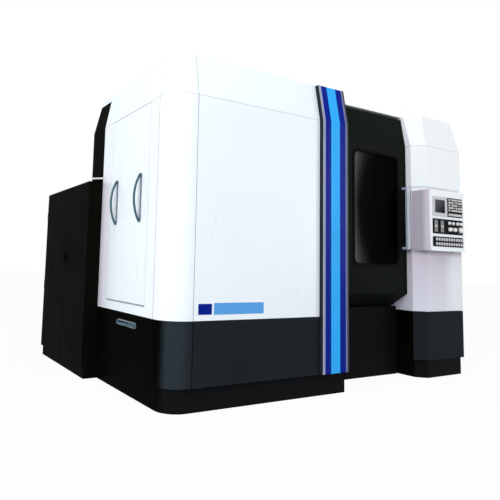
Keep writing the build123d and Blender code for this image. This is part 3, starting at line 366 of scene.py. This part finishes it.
ground_steel = metal("ground_steel", (0.6, 0.6, 0.59), rough=0.24, squash=(1, 0.04, 1))
tool_steel = metal("tool_steel", (0.36, 0.34, 0.31), rough=0.3, squash=(1, 0.2, 1), spread=0.3)
liner_steel = metal("liner_steel", (0.5, 0.51, 0.52), rough=0.38, squash=(0.03, 0.03, 1))
zinc_steel = metal("zinc_steel", (0.58, 0.6, 0.62), rough=0.32)
gasket_rubber = plastic("gasket_rubber", (0.004, 0.004, 0.004), specular=0.03, **RUBBER_FINISH)
seal_rubber = plastic("seal_rubber", (0.36, 0.37, 0.39), specular=0.1, **RUBBER_FINISH)
bezel_plastic = plastic("bezel_plastic", (0.60, 0.61, 0.65), rough=0.5, specular=0.2)
panel_plastic = plastic("panel_plastic", (0.004, 0.004, 0.0045), rough=0.5, specular=0.03)
key_plastic = plastic("key_plastic", (0.62, 0.62, 0.64), rough=0.42)
grey_key_plastic = plastic("grey_key_plastic", (0.2, 0.2, 0.21), rough=0.45)
button_plastic = plastic("button_plastic", (0.9, 0.9, 0.91), **GLOSSY_FINISH)
drive_plastic = plastic("drive_plastic", (0.55, 0.53, 0.46), rough=0.5)
lamp_cover = plastic("lamp_cover", (0.8, 0.8, 0.78), rough=0.3, grain=300.0)

# Fascia: each band starts at a distance from the fascia's left edge
FASCIA_LEFT = 1365
FASCIA_BANDS = (
    (0, (0.36, 0.39, 0.54)),
    (30, NAVY),
    (92, (0.035, 0.42, 0.97)),
    (190, NAVY),
    (255, (0.22, 0.235, 0.37)),
    (274, (0.03, 0.034, 0.05)),
)
# Painted shade on the fascia's side faces
FASCIA_RETURN_SHADE = (0.018, 0.022, 0.03)
FASCIA_SHADE = (0.01, 0.02, 0.06)
FASCIA_SHADE_SPAN = (0.5, 3.0)
SIDEWAYS = 0.7


def stripe_material():
    """Colour bands along the fascia, with painted shade on the faces at its sides."""
    material, tree, shader = new_material("stripe_paint")
    out = FASCIA_BANDS[0][1]
    for start, colour in FASCIA_BANDS[1:]:
        beyond = tree.math("GREATER_THAN", tree.along(X), on(X, FASCIA_LEFT + start))
        out = tree.mix(beyond, out, colour)
    side = tree.math("GREATER_THAN", tree.math("ABSOLUTE", tree.facing(X)), SIDEWAYS)
    out = tree.mix(side, out, FASCIA_RETURN_SHADE)
    cloud = tree.ramp(tree.noise(scale=3.0, detail=4.0), FASCIA_SHADE_SPAN)
    tree.put(tree.mix(cloud, out, FASCIA_SHADE), shader["Base Color"])
    smear = tree.noise(scale=9.0, detail=4.0)
    tree.put(tree.ramp(smear, MARK_SPAN, (0.24, 0.36)), shader["Roughness"])
    tree.put(0.04, shader["Specular IOR Level"])
    tree.bump(shader, tree.noise(scale=500.0, detail=2.0), MARK_STRENGTH, depth=0.1)
    return material


# Window: a pale tone reaches in from the left edge, further above and below the middle
PANE_LEFT = 1990
PANE_MIDDLE = 1560
GLASS_TONES = ((0.007, 0.0075, 0.0075), (0.012, 0.013, 0.013))
PALE_EDGE_TONE = (0.21, 0.22, 0.24)
PALE_EDGE_REACH = 125
PALE_EDGE_BEND = 0.9
WIPE_SPAN = (0.35, 0.75)


def glass_material():
    """Tinted window glass with faint wipe marks in its gloss, paler and less clear towards its left
    edge.
    """
    material, tree, shader = new_material("window_glass")
    wipe = tree.noise(scale=5.0, detail=5.0, rough=0.65, squash=(1, 1, 0.35))
    tree.put(tree.ramp(wipe, WIPE_SPAN, (0.16, 0.28)), shader["Roughness"])
    height = tree.math("SUBTRACT", tree.along(Z), on(Z, PANE_MIDDLE))
    bend = tree.math("MULTIPLY", tree.math("MULTIPLY", height, height), PALE_EDGE_BEND)
    reach = tree.math("ADD", bend, PALE_EDGE_REACH * MM)
    inward = tree.math("SUBTRACT", tree.along(X), on(X, PANE_LEFT))
    pale = tree.ramp(tree.math("DIVIDE", inward, reach), (1.0, 0.0))
    paling = tree.math("MULTIPLY", pale, pale)
    tree.put(tree.mix(paling, tree.mix(wipe, *GLASS_TONES), PALE_EDGE_TONE), shader["Base Color"])
    tree.put(tree.ramp(paling, (0.0, 1.0), (1.0, 0.3)), shader["Transmission Weight"])
    tree.put(1.045, shader["IOR"])
    return material


# Display: its dark tone and the paler tone of a painted reflection, and the corners at which they
# are reached
SCREEN_TONES = ((0.002, 0.002, 0.002), (0.13, 0.13, 0.135))
SCREEN_CORNERS = (at(2908, 0, 1542), at(2788, 0, 1666))


def screen_material():
    """A dark display behind a gloss cover, with a painted reflection that makes it paler to its
    upper left.
    """
    material, tree, shader = new_material("screen_glass")
    slant = tree.math("SUBTRACT", tree.along(Z), tree.along(X))
    pale = tree.ramp(slant, [corner.z - corner.x for corner in SCREEN_CORNERS])
    tree.put(tree.mix(pale, *SCREEN_TONES), shader["Base Color"])
    tree.put(tree.ramp(tree.noise(scale=30.0), MARK_SPAN, (0.1, 0.18)), shader["Roughness"])
    tree.put(0.02, shader["Specular IOR Level"])
    return material


# Bow handles: the base plate lies behind its face, and its field has a half width
SLATE_TONES = ((0.040, 0.095, 0.125), (0.060, 0.125, 0.16))
BOW_PLATE_FACE = -4.6
BOW_FIELD_HALF = 12.5
FLAT_TO_LEFT = -0.9


def bow_material(name, field_colour, rim_colour, axis, middles):
    """A slate bow on a base plate, with a field of painted light and shade that ends in a rim on
    each side of a middle.
    """
    material, tree, shader = new_material(name)
    marks = tree.noise(scale=160.0, rough=0.6, squash=(1, 0.2, 0.2))
    plate = tree.math("GREATER_THAN", tree.along(X), on(X, BOW_PLATE_FACE))
    face = tree.math("MULTIPLY", plate, tree.math("LESS_THAN", tree.facing(X), FLAT_TO_LEFT))
    nearest, *others = [tree.distance(tree.along(axis), on(axis, middle)) for middle in middles]
    for other in others:
        nearest = tree.math("MINIMUM", nearest, other)
    field = tree.math("MULTIPLY", face, tree.math("LESS_THAN", nearest, BOW_FIELD_HALF * MM))
    out = tree.mix(plate, tree.mix(marks, *SLATE_TONES), rim_colour)
    tree.put(tree.mix(field, out, field_colour), shader["Base Color"])
    tree.put(tree.ramp(marks, MARK_SPAN, (0.2, 0.32)), shader["Roughness"])
    tree.put(0.2, shader["Specular IOR Level"])
    tree.bump(shader, marks, MARK_STRENGTH, METAL_DEPTH)
    return material


# Knobs: the pointer's half width and its start above the knob's middle
POINTER = (0.01, 0.01, 0.012)
POINTER_HALF = 1.2
POINTER_START = 2


def knob_material(name, x):
    """Pale plastic with a dark pointer line on the grip."""
    material = plastic(name, (0.88, 0.88, 0.89), **GLOSSY_FINISH)
    tree = Tree(material.node_tree)
    off = tree.distance(tree.along(X), on(X, x))
    near = tree.math("LESS_THAN", off, POINTER_HALF * MM)
    above = tree.math("GREATER_THAN", tree.along(Z), on(Z, DIAL_Z + POINTER_START))
    socket = tree.nodes["Principled BSDF"].inputs["Base Color"]
    plain = socket.links[0].from_socket
    tree.put(tree.mix(tree.math("MULTIPLY", near, above), plain, POINTER), socket)
    return material


stripe_paint = stripe_material()
window_glass = glass_material()
screen_glass = screen_material()
first_knob = knob_material("first_knob", DIAL_XS[0])
second_knob = knob_material("second_knob", DIAL_XS[1])
# Hatch handles: the pale field is a painted reflection on the plate, and the dark rim is the
# plate's own colour, widened in front of the field as a painted shadow
hatch_bow = bow_material(
    "hatch_bow", (0.66, 0.84, 0.96), (0.15, 0.155, 0.21), Y, middles=(503.8, 973.2))
# Cover handle: the dark field behind the bow is painted shade on the plate
cover_bow = bow_material(
    "cover_bow", (0.022, 0.036, 0.052), (0.20, 0.26, 0.31), Z, middles=(533,))

looks = {
    white_paint: ("access_hatch", "corner_panel", "front_panel", "right_side_panel", "roof_panels"),
    side_paint: ("left_side_panel",),
    console_paint: ("console_covers",),
    box_paint: ("operation_box",),
    charcoal_paint: ("base_panels",),
    shaded_side_charcoal: ("lower_cover",),
    black_paint: ("cabinet_door_front", "cabinet_door_rear", "cabinet_hinges", "cabinet_latch",
                  "cabinet_shell"),
    rear_paint: ("rear_covers",),
    door_paint: ("door_panel",),
    frame_paint: ("enclosure_frame", "door_header"),
    casting_paint: ("axial_carriage", "bed", "column", "counter_column", "hob_slide",
                    "swivel_head", "table_housing", "tailstock_arm"),
    motor_paint: ("axial_motor", "servo_motors", "spindle_motor"),
    ground_steel: ("axial_rails", "axial_screw", "guide_rails", "hob_arbor", "live_centre",
                   "radial_screw", "rotary_table", "work_arbor"),
    tool_steel: ("hob",),
    liner_steel: ("work_area_liner",),
    zinc_steel: ("door_rail_blocks", "levelling_pads"),
    handle_paint: ("door_handle",),
    hatch_bow: ("hatch_handles",),
    cover_bow: ("lower_cover_handle",),
    gasket_rubber: ("window_gasket",),
    bezel_plastic: ("display_bezel",),
    panel_plastic: ("control_plates",),
    button_plastic: (*BUTTON_NAMES, "stop_button"),
    first_knob: KNOB_NAMES[:1],
    second_knob: KNOB_NAMES[1:],
    drive_plastic: ("drive_modules",),
    lamp_cover: ("work_light",),
    stripe_paint: ("stripe_fascia",),
    window_glass: ("door_window",),
    screen_glass: ("display_screen",),
}
for material, names in looks.items():
    for name in names:
        mesh = nodes[name].data
        mesh.materials.clear()
        mesh.materials.append(material)


# New pieces, all fixed to the machine
def mesh_piece(name, bm, materials):
    mesh = bpy.data.meshes.new(name)
    bm.to_mesh(mesh)
    bm.free()
    piece = bpy.data.objects.new(name, mesh)
    scene.collection.objects.link(piece)
    for material in materials:
        mesh.materials.append(material)
    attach(piece, "machine")
    return piece


def rounded_box(bm, low, high, radius, segments=2, material=0):
    """A box between two corners with rounded edges."""
    made = bmesh.ops.create_cube(bm, size=1.0)
    middle = (low + high) / 2
    size = high - low
    for vert in made["verts"]:
        vert.co = vert.co * size + middle
    edges = {edge for vert in made["verts"] for edge in vert.link_edges}
    faces = {face for vert in made["verts"] for face in vert.link_faces}
    for face in faces:
        face.material_index = material
    done = bmesh.ops.bevel(bm, geom=list(edges), offset=radius, segments=segments, profile=0.5,
                           affect="EDGES")
    for face in done["faces"]:
        face.material_index = material
        face.smooth = True


def box_piece(name, boxes, radius, segments, material):
    """A piece of rounded boxes, each given by its limits along X, Y and Z."""
    bm = bmesh.new()
    for x0, x1, y0, y1, z0, z1 in boxes:
        rounded_box(bm, at(x0, y0, z0), at(x1, y1, z1), radius * MM, segments)
    return mesh_piece(name, bm, [material])


# Plain colour fields low on the front panel
TRIM_PROUD = 1.2
TRIM_RADIUS = 0.5
TRIM_SEGMENTS = 2
SQUARE_BOX = (243, 354, -TRIM_PROUD, 0, 654, 728)
BAR_BOX = (371, 805, -TRIM_PROUD, 0, 652, 733)
box_piece("badge_square", [SQUARE_BOX], TRIM_RADIUS, TRIM_SEGMENTS, navy_film)
box_piece("badge_bar", [BAR_BOX], TRIM_RADIUS, TRIM_SEGMENTS, sky_film)

# White edge strip that rises along the foot of the rear hood
EDGE_START = 1312
EDGE_BOX = (-TRIM_PROUD, 0, EDGE_START, 1603, 1733, 1748)
EDGE_SLOPE = 0.12
hood_edge = box_piece("hood_edge", [EDGE_BOX], TRIM_RADIUS, TRIM_SEGMENTS, white_paint)
for vert in hood_edge.data.vertices:
    vert.co.z += EDGE_SLOPE * (vert.co.y - on(Y, EDGE_START))

# Rubber strips that close the seams between the white panels, from their fronts to one depth
SEAL_RADIUS = 0.4
SEAL_SEGMENTS = 1
SEAL_BACK = 18
SHALLOW = 0.8
MIDDLING = 2.5
DEEP = 5
CORNER_SEAM = (203.6, 208.4)
HATCH_SEAMS = ((348.2, 352.8), (1098.2, 1102.8))
PANEL_RISE = (613, 2197)
HATCH_RISE = (690, 2195)
FOOT_SEAM = (353, 1097, 679.5, 689)
HEAD_SEAM = (350, 1100, 2195.2, 2199.8)
box_piece("panel_seals", (
    (SHALLOW, SEAL_BACK, *CORNER_SEAM, *PANEL_RISE),
    (*CORNER_SEAM, DEEP, SEAL_BACK, *PANEL_RISE),
    *((MIDDLING, SEAL_BACK, *seam, *HATCH_RISE) for seam in HATCH_SEAMS),
), SEAL_RADIUS, SEAL_SEGMENTS, gasket_rubber)
box_piece("hatch_seal", (
    (MIDDLING, SEAL_BACK, *FOOT_SEAM),
    (SHALLOW, SEAL_BACK, *HEAD_SEAM),
), SEAL_RADIUS, SEAL_SEGMENTS, seal_rubber)

# Keyboard, control plate and key strip with moulded key caps
PLATE, KEY, GREY_KEY, PALE_KEY = range(4)
PLATE_RADIUS = 1.5
CAP_PROUD = 4
CAP_RADIUS = 1.2
BLOCK_XS = (2779, 2871)
BLOCK_WIDTH = 46
BLOCK_RISE = (1359, 1471)
BLOCK_PROUD = 3
BLOCK_EDGE = 2
COLUMN_STEP, ROW_STEP = 3, 2


def control_plate(bm, x0, x1, z0, z1):
    rounded_box(bm, at(x0, PLATE_FRONT, z0), at(x1, BOX_FRONT, z1), PLATE_RADIUS * MM,
                material=PLATE)


def key_caps(bm, field, columns, rows, share, materials=(KEY,)):
    """Key caps over a field, each on a share of its cell, with the materials in turn."""
    x0, x1, z0, z1 = field
    wide = (x1 - x0) / columns
    tall = (z1 - z0) / rows
    margin = (1 - share) / 2
    for i in range(columns):
        for k in range(rows):
            x = x0 + (i + margin) * wide
            z = z0 + (k + margin) * tall
            pick = materials[(i * COLUMN_STEP + k * ROW_STEP) % len(materials)]
            rounded_box(bm, at(x, PLATE_FRONT - CAP_PROUD, z),
                        at(x + share * wide, PLATE_FRONT, z + share * tall),
                        CAP_RADIUS * MM, material=pick)


bm = bmesh.new()
control_plate(bm, *KEYBOARD)
key_caps(bm, LETTER_KEYS, columns=5, rows=5, share=0.72, materials=(KEY, KEY, KEY, GREY_KEY))
key_caps(bm, NUMBER_KEYS, columns=3, rows=5, share=0.72, materials=(KEY, GREY_KEY, KEY))
key_caps(bm, SOFT_KEYS, columns=7, rows=1, share=0.78)
control_plate(bm, *CONTROL_PLATE)
z0, z1 = BLOCK_RISE
for x0 in BLOCK_XS:
    x1 = x0 + BLOCK_WIDTH
    rounded_box(bm, at(x0, PLATE_FRONT - BLOCK_PROUD, z0), at(x1, PLATE_FRONT, z1),
                PLATE_RADIUS * MM, material=GREY_KEY)
    field = (x0 + BLOCK_EDGE, x1 - BLOCK_EDGE, z0 + BLOCK_EDGE, z1 - BLOCK_EDGE)
    key_caps(bm, field, columns=2, rows=5, share=0.84, materials=(GREY_KEY, PALE_KEY, GREY_KEY))
control_plate(bm, *KEY_STRIP)
key_caps(bm, STRIP_KEYS, columns=11, rows=2, share=0.62)
units = mesh_piece("control_units", bm,
                   [panel_plastic, key_plastic, grey_key_plastic, bezel_plastic])
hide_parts("control_plates")


# Rings round the buttons, dial marks round the knobs and small screws
def round_point(middle, normal, radius, angle, height):
    """A point at a radius, an angle and a height about a normal."""
    turn = UPWARD.rotation_difference(normal).to_matrix()
    return middle + turn @ Vector((radius * math.cos(angle), radius * math.sin(angle), height))


def turned_ring(bm, middle, normal, profile, segments=28):
    """A closed ring turned about a normal from a profile of radius and height pairs."""
    rows = []
    for k in range(segments):
        angle = 2 * math.pi * k / segments
        rows.append([bm.verts.new(round_point(middle, normal, radius, angle, height))
                     for radius, height in profile])
    for k in range(segments):
        here, beyond = rows[k], rows[(k + 1) % segments]
        for i in range(len(profile) - 1):
            face = bm.faces.new((here[i], beyond[i], beyond[i + 1], here[i + 1]))
            face.smooth = True
    return rows


RING_SINK = 0.2
RING_SOFT_SHARE = 0.3


def button_ring(bm, x, z, inner, outer, height):
    """A flat ring with soft edges on the control plate."""
    soft = height * RING_SOFT_SHARE
    profile = ((inner, -RING_SINK), (inner, height - soft), (inner + soft, height),
               (outer - soft, height), (outer, height - soft), (outer, -RING_SINK))
    turned_ring(bm, at(x, PLATE_FRONT, z), FRONTWARD, [(r * MM, h * MM) for r, h in profile])


# A screw head's radii and heights are shares of its radius
HEAD_SHARES = ((1.0, -0.05), (1.0, 0.25), (0.9, 0.45), (0.7, 0.58), (0.45, 0.62))
SOCKET_SHARE = 0.42
SOCKET_HEIGHT_SHARES = (0.62, 0.2)
SOCKET_SIDES = 6
HEAD_SPLIT = 3


def screw_head(bm, middle, normal, radius):
    """A low domed head with a six-sided socket."""
    segments = SOCKET_SIDES * HEAD_SPLIT
    profile = [(r * radius, h * radius) for r, h in HEAD_SHARES]
    rows = turned_ring(bm, middle, normal, profile, segments)
    rim, foot = (
        [bm.verts.new(round_point(middle, normal, SOCKET_SHARE * radius,
                                  2 * math.pi * k / SOCKET_SIDES, share * radius))
         for k in range(SOCKET_SIDES)]
        for share in SOCKET_HEIGHT_SHARES)
    for k in range(SOCKET_SIDES):
        after = (k + 1) % SOCKET_SIDES
        bm.faces.new((rim[k], rim[after], foot[after], foot[k]))
        top = [rows[(HEAD_SPLIT * k + i) % segments][-1] for i in range(HEAD_SPLIT + 1)]
        bm.faces.new((*top, rim[after], rim[k]))
    bm.faces.new(foot)


bm = bmesh.new()
for x in BUTTON_XS:
    button_ring(bm, x, BUTTON_Z, inner=13.6, outer=16.8, height=2.6)
button_ring(bm, STOP_X, DIAL_Z, inner=25.0, outer=30.0, height=1.6)
mesh_piece("button_rings", bm, [zinc_steel])

# Dial marks, each made upright over the knob's middle and turned into its place
TICK_COUNT = 11
TICK_FIRST = -135
TICK_STEP = 27
TICK_RADIUS = 0.15
TICK_LOW = Vector((-0.7, -0.4, 22))
TICK_HIGH = Vector((0.7, 0.1, 26))
bm = bmesh.new()
for x in DIAL_XS:
    for k in range(TICK_COUNT):
        before = len(bm.verts)
        rounded_box(bm, TICK_LOW * MM, TICK_HIGH * MM, TICK_RADIUS * MM, segments=1)
        bm.verts.ensure_lookup_table()
        turn = Matrix.Rotation(math.radians(TICK_FIRST + TICK_STEP * k), 3, "Y")
        for vert in bm.verts[before:]:
            vert.co = at(x, PLATE_FRONT, DIAL_Z) + turn @ vert.co
mesh_piece("dial_marks", bm, [key_plastic])


def screws(name, places, normal, radius):
    bm = bmesh.new()
    for place in places:
        screw_head(bm, at(*place), normal, radius * MM)
    mesh_piece(name, bm, [zinc_steel])


BOX_SCREW_XS = (2738, 3230)
BOX_SCREW_ZS = (1212, 1742)
PLATE_SCREW_INSET = 5
REAR_FACE = 1605
REAR_START = 531
REAR_PITCH = 937
REAR_PANELS = 3
REAR_COLUMNS = (14, 466, 918)
REAR_ROWS = (190, 700, 1290, 1870, 2170)
screws("box_screws", [
    (x, BOX_FRONT, z) for x in BOX_SCREW_XS for z in BOX_SCREW_ZS
], FRONTWARD, radius=4.2)
screws("plate_screws", [
    (x, PLATE_FRONT, z)
    for x0, x1, z0, z1 in (KEYBOARD, CONTROL_PLATE, KEY_STRIP)
    for x in (x0 + PLATE_SCREW_INSET, x1 - PLATE_SCREW_INSET)
    for z in (z0 + PLATE_SCREW_INSET, z1 - PLATE_SCREW_INSET)
], FRONTWARD, radius=2.4)
screws("rear_screws", [
    (REAR_START + panel * REAR_PITCH + column, REAR_FACE, z)
    for panel in range(REAR_PANELS) for column in REAR_COLUMNS for z in REAR_ROWS
], REARWARD, radius=7)

# Softly broken edges on the pieces that are seen from near, by their width
SOFT_WELD = 0.02
SOFT_SEGMENTS = 2
SOFT_ANGLE = 35
SOFT_EDGES = {
    4: ("door_handle",),
    3: ("axial_carriage", "tailstock_arm", "swivel_head", "hob_slide"),
    2: ("table_housing",),
    1.5: ("display_bezel", *BUTTON_NAMES, *KNOB_NAMES),
    1: ("operation_box", "work_arbor"),
    0.8: ("rotary_table",),
}


def soften(node, width):
    weld = node.modifiers.new("weld", "WELD")
    weld.merge_threshold = SOFT_WELD * MM
    bevel = node.modifiers.new("edge", "BEVEL")
    bevel.width = width * MM
    bevel.segments = SOFT_SEGMENTS
    bevel.limit_method = "ANGLE"
    bevel.angle_limit = math.radians(SOFT_ANGLE)
    bevel.harden_normals = True


for width, names in SOFT_EDGES.items():
    for name in names:
        soften(nodes[name], width)

# World and floor show white, and light the object less
PURE_WHITE = (1.0, 1.0, 1.0)
WORLD_LIGHT = 0.43
FLOOR_HALF = 40.0
FLOOR_GLOW = 0.95
world = bpy.data.worlds.new("studio")
scene.world = world
world.use_nodes = True
sky = Tree(world.node_tree)
background = sky.nodes["Background"].inputs
sky.put(sky.ramp(sky.seen(), (0.0, 1.0), (WORLD_LIGHT, 1.0)), background["Strength"])
sky.put(PURE_WHITE, background["Color"])

floor_mesh = bpy.data.meshes.new("floor")
floor_signs = ((-1, -1), (1, -1), (1, 1), (-1, 1))
floor_mesh.from_pydata([(x * FLOOR_HALF, y * FLOOR_HALF, 0) for x, y in floor_signs],
                       [], [range(len(floor_signs))])
floor = bpy.data.objects.new("floor", floor_mesh)
scene.collection.objects.link(floor)
floor_material, ground, floor_shader = new_material("floor")
ground.put((0.86, 0.86, 0.86), floor_shader["Base Color"])
ground.put(0.9, floor_shader["Roughness"])
ground.put(0.1, floor_shader["Specular IOR Level"])
glow = ground.nodes.new("ShaderNodeEmission")
ground.put(PURE_WHITE, glow.inputs["Color"])
blend = ground.nodes.new("ShaderNodeMixShader")
ground.put(ground.math("MULTIPLY", ground.seen(), FLOOR_GLOW), blend.inputs["Fac"])
ground.put(ground.nodes["Principled BSDF"].outputs["BSDF"], blend.inputs[1])
ground.put(glow.outputs["Emission"], blend.inputs[2])
ground.put(blend.outputs["Shader"], ground.nodes["Material Output"].inputs["Surface"])
floor_mesh.materials.append(floor_material)

# Lights, in metres and watts
COOL = (0.99, 1.0, 1.015)


def softbox(name, place, target, width, height, power, colour):
    light = bpy.data.lights.new(name, "AREA")
    light.shape = "RECTANGLE"
    light.size = width
    light.size_y = height
    light.energy = power
    light.color = colour
    lamp = bpy.data.objects.new(name, light)
    scene.collection.objects.link(lamp)
    lamp.location = place
    lamp.rotation_euler = (Vector(target) - Vector(place)).to_track_quat("-Z", "Y").to_euler()


softbox("key", place=(-7.0, -4.2, 4.6), target=(-1.2, -0.9, 1.2),
        width=4.0, height=4.0, power=362, colour=COOL)
softbox("top", place=(-1.0, -3.6, 6.5), target=(0.0, -0.9, 2.0),
        width=4.5, height=3.0, power=88, colour=COOL)
softbox("side_strip", place=(5.2, -6.0, 2.4), target=(0.4, -1.1, 1.6),
        width=0.6, height=3.2, power=75, colour=PURE_WHITE)

# Camera at the photograph's place
CAMERA_PLACE = Vector((-3.2315, -4.4413, 1.0031))
CAMERA_FORWARD = Vector((0.50205, 0.85879, 0.10207)).normalized()
CAMERA_YAW = -0.529
CAMERA_ROLL = 0.0267
level_right = Vector((math.cos(CAMERA_YAW), math.sin(CAMERA_YAW), 0))
level_up = level_right.cross(CAMERA_FORWARD)
right = math.cos(CAMERA_ROLL) * level_right + math.sin(CAMERA_ROLL) * level_up
up = -math.sin(CAMERA_ROLL) * level_right + math.cos(CAMERA_ROLL) * level_up
camera_data = bpy.data.cameras.new("camera")
camera_data.sensor_width = 36.0
camera_data.lens = 37.94
camera_data.shift_x = 0.109
camera_data.shift_y = -0.081
camera = bpy.data.objects.new("camera", camera_data)
scene.collection.objects.link(camera)
turn = Matrix((right, up, -CAMERA_FORWARD)).transposed()
camera.matrix_world = Matrix.Translation(CAMERA_PLACE) @ turn.to_4x4()
scene.camera = camera
scene.view_settings.view_transform = "Standard"
